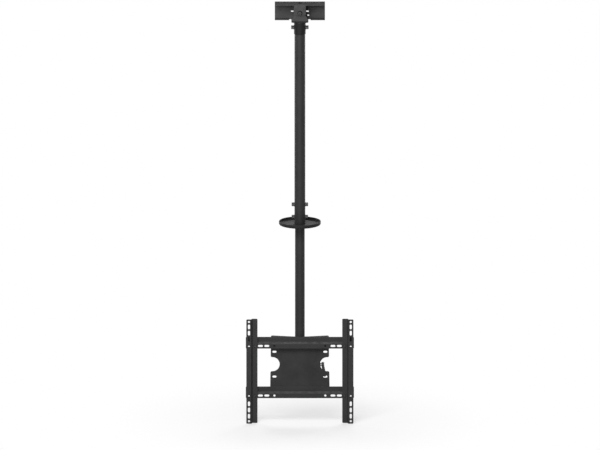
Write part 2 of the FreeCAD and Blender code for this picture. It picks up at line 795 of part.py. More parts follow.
# Tilt bolt through both cheeks and the cross tube, its head on the left.
def tilt_bolt():
    seat = f"({CHEEK_OUTSIDE}) + {TILT_WASHER}"
    shank = f"2 * ({seat}) + face_gap + lever_bush_length + lever_hub_length / 3"
    bolt = screw("tilt_bolt", "tilt_diameter", shank)
    place(bolt, x=f"-({seat})", z="-tilt_drop", turn=ALONG_X)
    keep("tilt_bolt", bolt)
    rings = []
    for name, x in (("left", f"-({seat})"), ("right", CHEEK_OUTSIDE)):
        ring = washer("tilt_washer_" + name, "tilt_diameter")
        rings.append(place(ring, x=x, z="-tilt_drop", turn=ALONG_X))
    group("tilt_washers", rings)


BAR_TOP = "rail_inner + rail_step_rise + rail_back_flange"
PLATE_TOP = f"-screen_drop + vesa_middle / 2 + {BAR_TOP}"
PLATE_MIDDLE = "-screen_drop + plate_slot_offset"


# Centre plate: a pressed plate with a round bite out of each side for the lever and the
# hand, four slots for a small screen, and a top lip folded back and cut away for the pole.
def centre_plate():
    body = new_body("centre_plate")
    top = PLATE_TOP
    foot = f"{top} - plate_height"
    face = sketch_on(body, "XZ", "plate_standoff")
    outline(face, [
        ("-plate_top_width / 2 - plate_flare", foot), ("plate_top_width / 2 + plate_flare", foot),
        ("plate_top_width / 2", top), ("-plate_top_width / 2", top)])
    pad(body, face, "plate_gauge")
    lip = sketch_on(body, "XY", top)
    back = "-plate_standoff"
    front = f"{back} - plate_gauge"
    half = "plate_top_width / 2"
    outline(lip, [
        (f"-{half}", front), (half, front),
        (half, f"{back} + plate_lip_depth - plate_corner"),
        (f"{half} - plate_corner", f"{back} + plate_lip_depth"),
        ("plate_lip_flat", f"{back} + plate_lip_middle"),
        ("-plate_lip_flat", f"{back} + plate_lip_middle"),
        (f"-{half} + plate_corner", f"{back} + plate_lip_depth"),
        (f"-{half}", f"{back} + plate_lip_depth - plate_corner")])
    pad(body, lip, "plate_gauge", back=True)
    bites = sketch_on(body, "XZ", "plate_standoff")
    for side in ("-", ""):
        round_hole(bites, f"{side}(plate_top_width / 2 - side_hole_inset)", PLATE_MIDDLE,
                   "2 * side_hole_radius")
        for row in ("-", "+"):
            slot(bites, f"{side}(plate_top_width / 2 - plate_slot_inset)",
                 f"{PLATE_MIDDLE} {row} vesa_small / 2", "plate_slot_length", "rail_hole")
    pocket(body, bites, "plate_gauge * 4")

    def mouth(first, last):
        across = abs(first.y - last.y) > 1
        wide = abs(first.x) > number("plate_top_width / 2 - 1")
        middle = number(PLATE_MIDDLE)
        return across and wide and abs(first.z - middle) < number("side_hole_radius + 1")

    round_edges(body, "plate_corner", mouth)

    def fold(first, last):
        runs = abs(first.x - last.x) > 1
        return runs and near(first.z, top) and near(last.z, top) and near(first.y, front)

    round_edges(body, "plate_gauge", fold)


RAIL_DEPTH = "rail_step_depth + rail_gauge"
RAIL_MITRE = ("rail_gauge * (sqrt(rail_step_depth^2 + rail_step_rise^2) - rail_step_rise)"
              " / rail_step_depth")


# Rails: one punched Z-section strip, used for both bars and both arms. Its hole row is
# at X = 0, its front flange faces -Y and its back flange lies on Y = 0.
def rail(label, length, screw_holes=False):
    body = new_body(label)
    step = "rail_inner + rail_step_rise"
    edge = f"{step} + rail_back_flange"
    front = f"-({RAIL_DEPTH})"
    bends = [
        ("rail_inner", front), (f"{step} - {RAIL_MITRE}", "0"),
        (step, "-rail_gauge"), (f"rail_inner - {RAIL_MITRE}", "-rail_step_depth")]
    section = sketch_on(body, "XY")
    outline(section, [
        ("-rail_edge", front), bends[0], bends[2], (edge, "-rail_gauge"),
        (edge, "0"), bends[1], bends[3], ("-rail_edge", "-rail_step_depth")])
    pad(body, section, length, side="Symmetric")

    def at(points):
        return lambda first, last: abs(first.z - last.z) > 1 and any(
            near(first.x, x) and near(first.y, y) for x, y in points)

    round_edges(body, "rail_bend", at(bends[:2]))
    round_edges(body, "rail_bend - rail_gauge", at(bends[2:]))

    def corner(first, last):
        across = abs(first.y - last.y) > 0.5
        return across and (near(first.x, "-rail_edge") or near(first.x, edge))

    round_edges(body, "rail_gauge * 2", corner)
    punch = sketch_on(body, "XZ")
    for side in ("-", ""):
        for pattern in ("vesa_middle", "vesa_large"):
            round_hole(punch, "0", f"{side}{pattern} / 2", "rail_hole")
        for step_count in range(3):
            slot(punch, "0", f"{side}(rail_slot_offset - {step_count} * rail_slot_pitch)",
                 "rail_slot_length", "rail_hole", upright=True)
        if screw_holes:
            round_hole(punch, "arm_screw_offset", f"{side}vesa_middle / 2",
                       "arm_screw_diameter + 2 * thread_play")
    pocket(body, punch, "rail_step_depth * 6")
    return body


BAR_BACK = "-(plate_standoff + plate_gauge)"
ARM_BACK = f"-(plate_standoff + plate_gauge + {RAIL_DEPTH})"


def bars_and_arms():
    for name, sign in (("upper_bar", "+"), ("lower_bar", "-")):
        place(rail(name, "vesa_large + 2 * bar_end"), y=BAR_BACK,
              z=f"-screen_drop {sign} vesa_middle / 2", turn=BACK_ALONG_X)
    left = rail("left_arm", "vesa_large + 2 * arm_end", screw_holes=True)
    place(left, x="-vesa_large / 2", y=ARM_BACK, z="-screen_drop")
    right = rail("right_arm", "vesa_large + 2 * arm_end", screw_holes=True)
    place(right, x="vesa_large / 2", y=ARM_BACK, z="-screen_drop",
          turn=Rotation(Vector(0, 1, 0), 180))


# Arm screws: low heads in front of each arm's back flange, nuts behind the bar.
def arm_screws():
    seat = f"{ARM_BACK} - rail_gauge"
    stack = "2 * rail_gauge"
    screws = []
    nuts = []
    for side in ("-", ""):
        for row in ("-", "+"):
            tag = ("left" if side else "right") + ("_lower" if row == "-" else "_upper")
            x = f"{side}(vesa_large / 2 - arm_screw_offset)"
            z = f"-screen_drop {row} vesa_middle / 2"
            length = f"{stack} + {ARM_NUT} + bolt_end"
            piece = button_screw("arm_screw_" + tag, "arm_screw_diameter", length)
            screws.append(place(piece, x=x, y=seat, z=z, turn=ALONG_Y))
            piece = nut("arm_nut_" + tag, "arm_screw_diameter", ARM_NUT)
            nuts.append(place(piece, x=x, y=f"{seat} + {stack}", z=z, turn=ALONG_Y))
    group("arm_screws", screws)
    group("arm_nuts", nuts)


LEVER_SEAT = f"{CHEEK_OUTSIDE} + {TILT_WASHER} + face_gap"
HUB_SEAT = f"{LEVER_SEAT} + lever_bush_length"


# Clamping lever: a steel bush on the tilt bolt and a moulded handle that hangs from it.
def clamp_lever():
    bush = cut("lever_bush", cylinder("lever_bush_form", "lever_hub_diameter",
                                      "lever_bush_length"),
               place(cylinder("lever_bush_bore", "tilt_diameter + 2 * pin_play",
                              "lever_bush_length * 3"), z="-lever_bush_length"))
    place(bush, x=LEVER_SEAT, z="-tilt_drop", turn=ALONG_X)
    keep("lever_bush", bush)
    body = new_body("clamp_lever")
    arm = sketch_on(body, "XZ")
    tip = "-(lever_reach - lever_grip_half)"
    inner = "lever_splay - lever_grip_half"
    outer = "lever_splay + lever_grip_half"
    outline(arm, [
        ("0", "lever_edge"), ("0", "-lever_hub_diameter / 2"),
        (inner, tip, "lever_splay", tip, 1),
        (outer, tip), ("lever_hub_length", "-lever_hub_diameter / 4"),
        ("lever_hub_length", "lever_edge")])
    pad(body, arm, "lever_thickness", side="Symmetric")
    face = "lever_thickness / 2"
    round_edges(body, "lever_edge", lambda first, last:
                near(abs(first.y), face) and near(first.y - last.y, "0"))
    hub = sketch_on(body, "YZ")
    round_hole(hub, "0", "0", "lever_hub_diameter")
    pad(body, hub, "lever_hub_length")
    bore = sketch_on(body, "YZ")
    round_hole(bore, "0", "0", "tilt_diameter + 2 * pin_play")
    pocket(body, bore, "lever_hub_length / 2", side="One side", back=True)
    place(body, x=HUB_SEAT, z="-tilt_drop")


ceiling_bracket()
pivot_set()
hinge_head()
angle_lock()
pole_socket()
flange_bolts()
clamp_set("sleeve", SLEEVE_DIAMETER, "upper_tube_diameter", {"sleeve": "sleeve_clamp_drop"})
upper_tube()
clamp_set("tube", "upper_tube_diameter", "lower_tube_diameter", TUBE_CLAMPS)
cover_dish()
lower_tube()
guide_plug()
cross_tube()
tilt_bushes()
tilt_bracket()
tilt_bolt()
centre_plate()
bars_and_arms()
arm_screws()
clamp_lever()
doc.recompute()

for item in doc.Objects:
    if "Invalid" in item.State or "Error" in item.State:
        raise RuntimeError(f"{item.Label} failed: {item.State}")
for label, item in SUB_PARTS.items():
    if item.Shape.isNull() or not item.Shape.isValid():
        raise RuntimeError(f"{label} has no valid shape")

os.makedirs("parts", exist_ok=True)
for label, item in SUB_PARTS.items():
    item.Shape.exportStep(f"parts/{label}.step")
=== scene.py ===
import math
import bpy
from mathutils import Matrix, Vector


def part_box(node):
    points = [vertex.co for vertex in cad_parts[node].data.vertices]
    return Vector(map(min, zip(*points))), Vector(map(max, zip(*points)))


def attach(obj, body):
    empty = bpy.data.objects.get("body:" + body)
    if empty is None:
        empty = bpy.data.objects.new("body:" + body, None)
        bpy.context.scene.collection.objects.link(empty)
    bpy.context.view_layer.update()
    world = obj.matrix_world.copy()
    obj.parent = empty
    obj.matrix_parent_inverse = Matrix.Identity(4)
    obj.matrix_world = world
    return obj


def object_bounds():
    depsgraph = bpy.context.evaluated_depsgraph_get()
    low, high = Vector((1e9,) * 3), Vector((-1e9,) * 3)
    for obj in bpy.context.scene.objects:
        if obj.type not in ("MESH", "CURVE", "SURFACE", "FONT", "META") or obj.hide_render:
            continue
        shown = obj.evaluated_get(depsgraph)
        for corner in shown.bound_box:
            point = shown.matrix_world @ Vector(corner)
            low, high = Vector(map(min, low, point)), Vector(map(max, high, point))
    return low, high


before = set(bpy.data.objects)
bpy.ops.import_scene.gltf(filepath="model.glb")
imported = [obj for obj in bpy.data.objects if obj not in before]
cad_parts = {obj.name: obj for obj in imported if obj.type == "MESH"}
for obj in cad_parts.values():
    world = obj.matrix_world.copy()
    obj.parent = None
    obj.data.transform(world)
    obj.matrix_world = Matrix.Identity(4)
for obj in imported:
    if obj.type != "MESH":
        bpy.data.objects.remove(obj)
cad_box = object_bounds()

# Ceiling bracket: one steel sheet, folded into a channel with a front ear and screwed to the
# ceiling. It has a satin black powder coat with a fine grain, a little cloudy in tone, with
# faint rub marks. The coat is set lighter than the other black coats, as painted light,
# chiefly for its walls under the top plate, and what faces up is painted darker in patches,
# as painted shade.


class Socket:
    """One output of a shader node. Arithmetic on it adds Math nodes."""

    def __init__(self, finish, socket):
        self.finish = finish
        self.socket = socket

    def math(self, operation, first, second):
        return self.finish.node("Math", {"operation": operation}, {0: first, 1: second})

    def __add__(self, other):
        return self.math("ADD", self, other)

    def __radd__(self, other):
        return self.math("ADD", other, self)

    def __sub__(self, other):
        return self.math("SUBTRACT", self, other)

    def __rsub__(self, other):
        return self.math("SUBTRACT", other, self)

    def __mul__(self, other):
        return self.math("MULTIPLY", self, other)

    def __rmul__(self, other):
        return self.math("MULTIPLY", other, self)


class Finish:
    """The shader nodes of a material, or of the world."""

    def __init__(self, owner):
        self.owner = owner
        owner.use_nodes = True
        self.tree = owner.node_tree
        self.tree.nodes.clear()

    def node(self, kind, settings=None, sockets=None, out=0):
        """Add a node: its settings first, then the values or links of its sockets."""
        made = self.tree.nodes.new("ShaderNode" + kind)
        for name, value in (settings or {}).items():
            if name == "stops":
                for stop, (position, level) in zip(made.color_ramp.elements, value):
                    stop.position = position
                    stop.color = (level, level, level, 1)
            else:
                setattr(made, name, value)
        for name, value in (sockets or {}).items():
            if isinstance(value, Socket):
                self.tree.links.new(value.socket, made.inputs[name])
            else:
                made.inputs[name].default_value = value
        return Socket(self, made.outputs[out]) if made.outputs else None

    def place(self, stretch=(1, 1, 1)):
        """Object coordinates, stretched."""
        spot = self.node("TexCoord", out="Object")
        return self.node("Mapping", {"vector_type": "POINT"}, {"Vector": spot, "Scale": stretch})

    def noise(self, scale, detail=2, stretch=(1, 1, 1)):
        return self.node("TexNoise", {}, {"Vector": self.place(stretch), "Scale": scale,
                                          "Detail": detail, "Roughness": 0.55})

    def ramp(self, value, low, high):
        """0 below low, 1 above high."""
        return self.node("ValToRGB", {"stops": ((low, 0.0), (high, 1.0))}, {"Fac": value})

    def blend(self, share, first, second):
        """Two colours mixed. A Mix node has its colours on sockets 6 and 7, and gives out 2."""
        return self.node("Mix", {"data_type": "RGBA"}, {0: share, 6: first, 7: second}, out=2)

    def facing_up(self):
        """How far the surface faces up: 1 on top, 0 on a wall, -1 below."""
        normal = self.node("TexCoord", out="Normal")
        return self.node("SeparateXYZ", {}, {"Vector": normal}, out="Z")

    def rounded(self, radius):
        """The surface's normal, as if its corners had this radius."""
        return self.node("Bevel", {"samples": 4}, {"Radius": radius})

    def edges(self, radius):
        """0 on flat ground, up to 1 on corners sharper than the radius."""
        sharp = self.node("NewGeometry", out="Normal")
        along = self.node("VectorMath", {"operation": "DOT_PRODUCT"},
                          {0: self.rounded(radius), 1: sharp}, out="Value")
        return self.ramp(1 - along, 0.02, 0.30)

    def surface(self, colour, roughness, height, depth, even=None):
        """Close the material with a Principled shader. even holds what doesn't vary."""
        bump = self.node("Bump", {}, {"Height": height, "Strength": 0.6, "Distance": depth,
                                      "Normal": self.rounded(0.0006)})
        shader = self.node("BsdfPrincipled", {}, {"Base Color": colour, "Roughness": roughness,
                                                  "Normal": bump, **(even or {})})
        self.node("OutputMaterial", {}, {"Surface": shader})
        return self.owner


def grey(value, blue=0.0):
    """A grey, with a little more or less blue in it."""
    return (value, value, value * (1 + blue), 1)


def powder_coat(name, tone, lines=(1, 1, 1), rough=0.58, shine=0.15, dust_and_painted_light=0.25, dust_and_painted_light_tone=3.2):
    """Satin black powder coat. lines stretches the faint marks of the metal beneath. What
    faces up gets patches of another tone, in a given share and as a multiple of the coat's
    tone: dust at the defaults, painted shade where that tone is set darker than the coat,
    and a painted highlight where it is set much lighter."""
    finish = Finish(bpy.data.materials.new(name))
    grain = finish.noise(1100, detail=2)
    clouds = finish.ramp(finish.noise(22, detail=4), 0.30, 0.70)
    marks = finish.noise(30, detail=4, stretch=lines)
    rubs = finish.ramp(finish.noise(9, detail=6), 0.60, 0.72)
    up = finish.ramp(finish.facing_up(), 0.35, 1.0)
    # Patches on what faces up: dust at the default tone, painted shade where a coat sets them
    # darker, and a painted highlight where it sets them much lighter.
    top_patches = up * finish.ramp(finish.noise(60, detail=6), 0.20, 0.80)
    corners = finish.edges(0.0009) * finish.ramp(finish.noise(70, detail=5), 0.30, 0.62)
    plain = finish.blend(clouds, grey(tone * 0.86, 0.02), grey(tone * 1.14, 0.02))
    worn = finish.blend(rubs * 0.25 + corners * 0.5, plain, grey(tone * 2.0))
    colour = finish.blend(top_patches * dust_and_painted_light, worn, grey(tone * dust_and_painted_light_tone, -0.04))
    roughness = (rough + (clouds - 0.5) * 0.10 + (marks - 0.5) * 0.12
                 + top_patches * 0.14 - rubs * 0.05)
    height = grain * 0.8 + marks * 0.4
    return finish.surface(colour, roughness, height, depth=0.00022,
                          even={"Specular IOR Level": shine})


def dress(material, *names):
    """Give CAD nodes their material."""
    for name in names:
        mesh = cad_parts[name].data
        mesh.materials.clear()
        mesh.materials.append(material)


# The bracket's coat is set lighter than the other black coats, as painted light, and its
# up-facing patches are set darker, as painted shade on its top face.
bracket_coat = powder_coat("bracket_coat", 0.0365, rough=0.70, shine=0.008,
                           dust_and_painted_light=0.8, dust_and_painted_light_tone=0.2)
dress(bracket_coat, "ceiling_bracket")

# Bolts, nuts and washers: cold-formed steel, blackened in a bath, so that the metal still
# shines through a little, more in rubbed patches. The pivot bolt is the first of them, and its
# thread shows behind the nut.


def black_oxide(name, tone):
    finish = Finish(bpy.data.materials.new(name))
    fine = finish.noise(900, detail=3)
    patches = finish.ramp(finish.noise(130, detail=4), 0.32, 0.68)
    rubbed = finish.ramp(finish.noise(260, detail=5), 0.58, 0.70)
    plain = finish.blend(patches, grey(tone * 0.7, 0.05), grey(tone * 1.3, 0.03))
    colour = finish.blend(rubbed * 0.5, plain, grey(tone * 3.0))
    roughness = 0.40 + (patches - 0.5) * 0.2 - rubbed * 0.08
    return finish.surface(colour, roughness, fine, depth=0.00003, even={"Metallic": 0.75})


bolt_black = black_oxide("bolt_black", 0.034)
pivot_black = black_oxide("pivot_black", 0.017)
dress(bolt_black, "pivot_nut", "pivot_washers")
dress(pivot_black, "pivot_bolt")


def new_tree(name, inputs):
    """An empty Geometry Nodes tree with the named inputs, each with its kind of socket."""
    tree = bpy.data.node_groups.new(name, "GeometryNodeTree")
    for label, kind in inputs.items():
        tree.interface.new_socket(label, in_out="INPUT", socket_type="NodeSocket" + kind)
    tree.interface.new_socket("Geometry", in_out="OUTPUT", socket_type="NodeSocketGeometry")
    return tree


def add_node(tree, kind, settings=None, sockets=None):
    """Add a node to a Geometry Nodes tree and give back its outputs."""
    made = tree.nodes.new(kind)
    for name, value in (settings or {}).items():
        setattr(made, name, value)
    for name, value in (sockets or {}).items():
        if isinstance(value, bpy.types.NodeSocket):
            tree.links.new(value, made.inputs[name])
        else:
            made.inputs[name].default_value = value
    return made.outputs


def painted(tree, shape, material):
    """End a tree: its shape as real mesh, painted."""
    real = add_node(tree, "GeometryNodeRealizeInstances", {}, {"Geometry": shape})
    paint = add_node(tree, "GeometryNodeSetMaterial", {},
                     {"Geometry": real["Geometry"], "Material": material})
    add_node(tree, "NodeGroupOutput", {}, {"Geometry": paint["Geometry"]})
    return tree


def thread_tree():
    """A screw thread: a ridge that winds along +Z, then is turned and put in its place."""
    tree = new_tree("screw_thread", {"Radius": "Float", "Length": "Float", "Pitch": "Float",
                                     "Ridge": "Float", "Start": "Vector", "Turn": "Vector",
                                     "Finish": "Material"})
    given = add_node(tree, "NodeGroupInput")
    turns = add_node(tree, "ShaderNodeMath", {"operation": "DIVIDE"},
                     {0: given["Length"], 1: given["Pitch"]})
    spiral = add_node(tree, "GeometryNodeCurveSpiral", {},
                      {"Resolution": 28, "Rotations": turns[0], "Height": given["Length"],
                       "Start Radius": given["Radius"], "End Radius": given["Radius"]})
    ridge = add_node(tree, "GeometryNodeCurvePrimitiveCircle", {},
                     {"Resolution": 5, "Radius": given["Ridge"]})
    sweep = add_node(tree, "GeometryNodeCurveToMesh", {},
                     {"Curve": spiral["Curve"], "Profile Curve": ridge["Curve"],
                      "Fill Caps": True})
    put = add_node(tree, "GeometryNodeTransform", {},
                   {"Geometry": sweep["Mesh"], "Translation": given["Start"],
                    "Rotation": given["Turn"]})
    return painted(tree, put["Geometry"], given["Finish"])


def grown(tree, carrier, **values):
    """Run a tree on a carrier object and keep what it makes as plain mesh."""
    run = carrier.modifiers.new("grow", "NODES")
    run.node_group = tree
    for item in tree.interface.items_tree:
        if item.in_out == "INPUT" and item.name in values:
            run[item.identifier] = values[item.name]
    shown = carrier.evaluated_get(bpy.context.evaluated_depsgraph_get())
    mesh = bpy.data.meshes.new_from_object(shown)
    carrier.modifiers.remove(run)
    return mesh


def joined(name, meshes, body, material):
    """One object of several meshes, riding on a body."""
    vertices = []
    faces = []
    for mesh in meshes:
        first = len(vertices)
        vertices += [tuple(vertex.co) for vertex in mesh.vertices]
        faces += [[first + index for index in face.vertices] for face in mesh.polygons]
    merged = bpy.data.meshes.new(name)
    merged.from_pydata(vertices, [], faces)
    merged.materials.append(material)
    merged.polygons.foreach_set("use_smooth", [True] * len(faces))
    piece = bpy.data.objects.new(name, merged)
    bpy.context.scene.collection.objects.link(piece)
    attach(piece, body)


screw_thread = thread_tree()
UPRIGHT = (0.0, 0.0, 0.0)
ALONG_Y = (-math.pi / 2, 0.0, 0.0)
RIDGE_SUNK = 0.12       # mm that a thread's middle lies under the screw's surface
RIDGE_SHARE = 0.42      # radius of a thread's ridge, as a share of its pitch


def threads(name, body, runs):
    """Threads on screw ends; each run is its start, turn, radius, length and pitch in mm."""
    seed = bpy.data.objects.new(name + "_seed", bpy.data.meshes.new(name + "_seed"))
    bpy.context.scene.collection.objects.link(seed)
    meshes = []
    for start, turn, radius, length, pitch in runs:
        meshes.append(grown(screw_thread, seed, Radius=(radius - RIDGE_SUNK) / 1000,
                            Length=length / 1000, Pitch=pitch / 1000,
                            Ridge=pitch * RIDGE_SHARE / 1000, Turn=turn,
                            Start=[part / 1000 for part in start], Finish=bolt_black))
    bpy.data.objects.remove(seed)
    joined(name, meshes, body, bolt_black)


def corners_mm(name):
    """A node's lowest and highest corners in mm."""
    return [[part * 1000 for part in corner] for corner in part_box(name)]


def level_mm(name):
    """The height of a node's middle in mm."""
    low, high = corners_mm(name)
    return (low[2] + high[2]) / 2


BACK, TOP = 1, 2        # places of Y and Z in a corner
pivot_radius, pivot_pitch, pivot_chamfer = 5.0, 1.5, 0.3
pivot_nut_back = corners_mm("pivot_nut")[1][BACK]
pivot_end = corners_mm("pivot_bolt")[1][BACK] - pivot_nut_back - pivot_chamfer
threads("pivot_thread", "ceiling_bracket",
        [((0, pivot_nut_back, level_mm("pivot_bolt")), ALONG_Y,
          pivot_radius, pivot_end, pivot_pitch)])

# Hinge head and pole socket: a folded yoke, and under it a flange plate with a sleeve that is
# welded all round. The yoke has the bracket's coat, with its painted light and shade, and the
# socket a darker copy of the same coat, as painted shade under the bracket; two bolts join
# them, and the sleeve has a welded nut for a clamp screw on each side.
dress(bracket_coat, "hinge_head")
# The socket's coat is a darker copy of the powder coat: painted shade under the bracket.
dress(powder_coat("socket_shade_coat", 0.006, shine=0.10), "pole_socket")
dress(bolt_black, "angle_lock_bolt", "angle_lock_nut", "flange_bolts", "flange_nuts",
      "sleeve_weld_nuts", "sleeve_clamp_screws")
weld_coat = powder_coat("weld_coat", 0.026, rough=0.62)


def weld_tree():
    """A weld run: overlapping flat drops along a path, each a little different."""
    tree = new_tree("weld_run", {"Geometry": "Geometry", "Pitch": "Float", "Drop": "Float",
                                 "Finish": "Material"})
    given = add_node(tree, "NodeGroupInput")
    spots = add_node(tree, "GeometryNodeCurveToPoints", {"mode": "LENGTH"},
                     {"Curve": given["Geometry"], "Length": given["Pitch"]})
    drop = add_node(tree, "GeometryNodeMeshIcoSphere", {},
                    {"Subdivisions": 2, "Radius": given["Drop"]})
    vary = add_node(tree, "FunctionNodeRandomValue", {"data_type": "FLOAT_VECTOR"},
                    {"Min": (0.85, 0.85, 0.62), "Max": (1.12, 1.12, 0.86), "Seed": 7})
    put = add_node(tree, "GeometryNodeInstanceOnPoints", {},
                   {"Points": spots["Points"], "Rotation": spots["Rotation"],
                    "Instance": drop["Mesh"], "Scale": vary["Value"]})
    return painted(tree, put["Instances"], given["Finish"])


weld_run = weld_tree()
DROP_STEP = 0.75        # distance between a weld's drops, as a share of their radius


def welds(name, body, paths, drop=1.6):
    """Weld runs along paths in mm; a path is its points and whether it closes."""
    meshes = []
    for points, closed in paths:
        line = bpy.data.curves.new(name + "_path", "CURVE")
        line.dimensions = "3D"
        spline = line.splines.new("POLY")
        spline.points.add(len(points) - 1)
        spline.use_cyclic_u = closed
        for point, spot in zip(spline.points, points):
            point.co = (*[part / 1000 for part in spot], 1)
        path = bpy.data.objects.new(name + "_path", line)
        bpy.context.scene.collection.objects.link(path)
        meshes.append(grown(weld_run, path, Pitch=drop * DROP_STEP / 1000, Drop=drop / 1000,
                            Finish=weld_coat))
        bpy.data.objects.remove(path)
    joined(name, meshes, body, weld_coat)


def ring(radius, level, count=48):
    """Round an upright tube."""
    steps = [math.tau * index / count for index in range(count)]
    return [(radius * math.cos(angle), radius * math.sin(angle), level) for angle in steps]


def saddle(tube, side, level, radius=7.2, count=36):
    """Round a nut that stands on the side of an upright tube."""
    points = []
    for index in range(count):
        angle = math.tau * index / count
        y = radius * math.cos(angle)
        across = side * math.sqrt(tube * tube - y * y)
        points.append((across, y, level + radius * math.sin(angle)))
    return points


SIDES = (-1, 1)
sleeve_radius, flange_gauge, weld_out = 23.1, 4.0, 0.6
flange_foot = corners_mm("pole_socket")[1][TOP] - flange_gauge
sleeve_level = level_mm("sleeve_weld_nuts")
welds("sleeve_welds", "hinge_head",
      [(ring(sleeve_radius + weld_out, flange_foot - weld_out), True)]
      + [(saddle(sleeve_radius, side, sleeve_level), True) for side in SIDES])
flange_column, flange_radius, flange_pitch, flange_chamfer = 28.16, 2.5, 0.8, 0.3
flange_nut_top = corners_mm("flange_nuts")[1][TOP]
flange_end = corners_mm("flange_bolts")[1][TOP] - flange_nut_top - flange_chamfer
lock_radius, lock_pitch, lock_end, lock_thread = 3.0, 1.0, 1.0, 0.8
lock_nut_back = corners_mm("angle_lock_bolt")[1][BACK] - lock_end
threads("hinge_threads", "hinge_head",
        [((side * flange_column, 0, flange_nut_top), UPRIGHT,
          flange_radius, flange_end, flange_pitch) for side in SIDES]
        + [((0, lock_nut_back, level_mm("angle_lock_bolt")), ALONG_Y,
            lock_radius, lock_thread, lock_pitch)])

# Upper tube: drawn steel tube, coated black, with four nuts welded on for the clamp screws.
# Under the coat faint draw lines run along it. The lower tube, which slides in it, is alike.
tube_coat = powder_coat("tube_coat", 0.0136, lines=(9, 9, 0.15), rough=0.56)
dress(tube_coat, "upper_tube", "lower_tube")
dress(bolt_black, "tube_weld_nuts", "tube_clamp_screws")
upper_radius = corners_mm("upper_tube")[1][0]
tube_nut_levels = (-811.5, -861.5)
welds("tube_welds", "upper_pole",
      [(saddle(upper_radius, side, level), True) for side in SIDES for level in tube_nut_levels])

# Cover dish: a spun steel bowl that slides on the lower tube. Spinning leaves faint rings
# round the pole, which show through its coat.


def from_pole(finish):
    """Distance from the pole's axis."""
    spot = finish.node("TexCoord", out="Object")
    flat = finish.node("VectorMath", {"operation": "MULTIPLY"}, {0: spot, 1: (1, 1, 0)})
    return finish.node("VectorMath", {"operation": "LENGTH"}, {0: flat}, out="Value")


def spun_coat(name, tone):
    finish = Finish(bpy.data.materials.new(name))
    grain = finish.noise(1500, detail=3)
    clouds = finish.ramp(finish.noise(16, detail=4), 0.30, 0.70)
    wobble = finish.noise(30) * 2.0
    rings = finish.node("Math", {"operation": "SINE"}, {0: from_pole(finish) * 3800.0 + wobble})
    up = finish.ramp(finish.facing_up(), 0.35, 1.0)
    # Dust on what faces up.
    top_patches = up * finish.ramp(finish.noise(45, detail=6), 0.30, 0.75)
    plain = finish.blend(clouds, grey(tone * 0.85, 0.02), grey(tone * 1.15, 0.02))
    colour = finish.blend(top_patches * 0.20, plain, grey(tone * 3.2, -0.04))
    roughness = 0.62 + (clouds - 0.5) * 0.1 + rings * 0.03 + top_patches * 0.14
    height = grain * 0.6 + rings * 0.3
    return finish.surface(colour, roughness, height, depth=0.00006,
                          even={"Specular IOR Level": 0.12})


dress(spun_coat("dish_coat", 0.0092), "cover_dish")

# Lower tube's fittings: a moulded guide plug in its top end, and across its foot the tilt
# tube, which the pole's coped end is welded to, with a moulded bush in each end.


def moulded(name, tone):
    finish = Finish(bpy.data.materials.new(name))
    grain = finish.noise(2600, detail=4)
    clouds = finish.ramp(finish.noise(40, detail=3), 0.30, 0.70)
    handled = finish.ramp(finish.noise(55, detail=4), 0.55, 0.75)
    plain = finish.blend(clouds, grey(tone * 0.85), grey(tone * 1.2))
    colour = finish.blend(handled * 0.25, plain, grey(tone * 1.8))
    roughness = 0.52 + (clouds - 0.5) * 0.12 - handled * 0.12
    return finish.surface(colour, roughness, grain, depth=0.00008)


moulded_black = moulded("moulded_black", 0.018)
dress(moulded_black, "guide_plug", "tilt_bushes")
dress(tube_coat, "cross_tube")
lower_radius = corners_mm("lower_tube")[1][0]
cross_radius = corners_mm("cross_tube")[1][BACK]
tilt_level = level_mm("cross_tube")
cope_half, cope_steps, wide_drop = 14.6, 24, 2.0
copes = []
for side in SIDES:
    cope = []
    for index in range(cope_steps + 1):
        y = cope_half * (2 * index / cope_steps - 1)
        cope.append((side * math.sqrt(lower_radius ** 2 - y * y), y,
                     tilt_level + math.sqrt(cross_radius ** 2 - y * y)))
    copes.append((cope, False))
welds("cope_welds", "lower_pole", copes, wide_drop)

# Screen head: a pressed centre plate with the tilt bracket welded on behind, two bars and two
# arms of punched Z-section, all black coated. Bars and plate are welded, the arms are screwed
# to the bars.
# On the centre plate and tilt bracket, what faces up is painted darker in patches, as painted
# shade on the up-facing lips.
plate_coat = powder_coat("plate_coat", 0.0258, rough=0.66, shine=0.03, dust_and_painted_light=0.8, dust_and_painted_light_tone=0.25)
dress(plate_coat, "centre_plate", "tilt_bracket")
# On the bars and arms, what faces up is painted much lighter in patches: mostly a painted
# highlight along the up-facing legs of their folds, over a little dust.
rail_coat = powder_coat("rail_coat", 0.0185, rough=0.56, dust_and_painted_light=0.8, dust_and_painted_light_tone=4.6)
dress(rail_coat, "upper_bar", "lower_bar", "left_arm", "right_arm")
dress(bolt_black, "arm_screws", "arm_nuts", "tilt_bolt", "tilt_washers")
STITCH_STEP = 2


def stitch(middle, half, y, level):
    """A short weld run along X."""
    return [(middle + step, y, level) for step in range(-half, half + 1, STITCH_STEP)], False


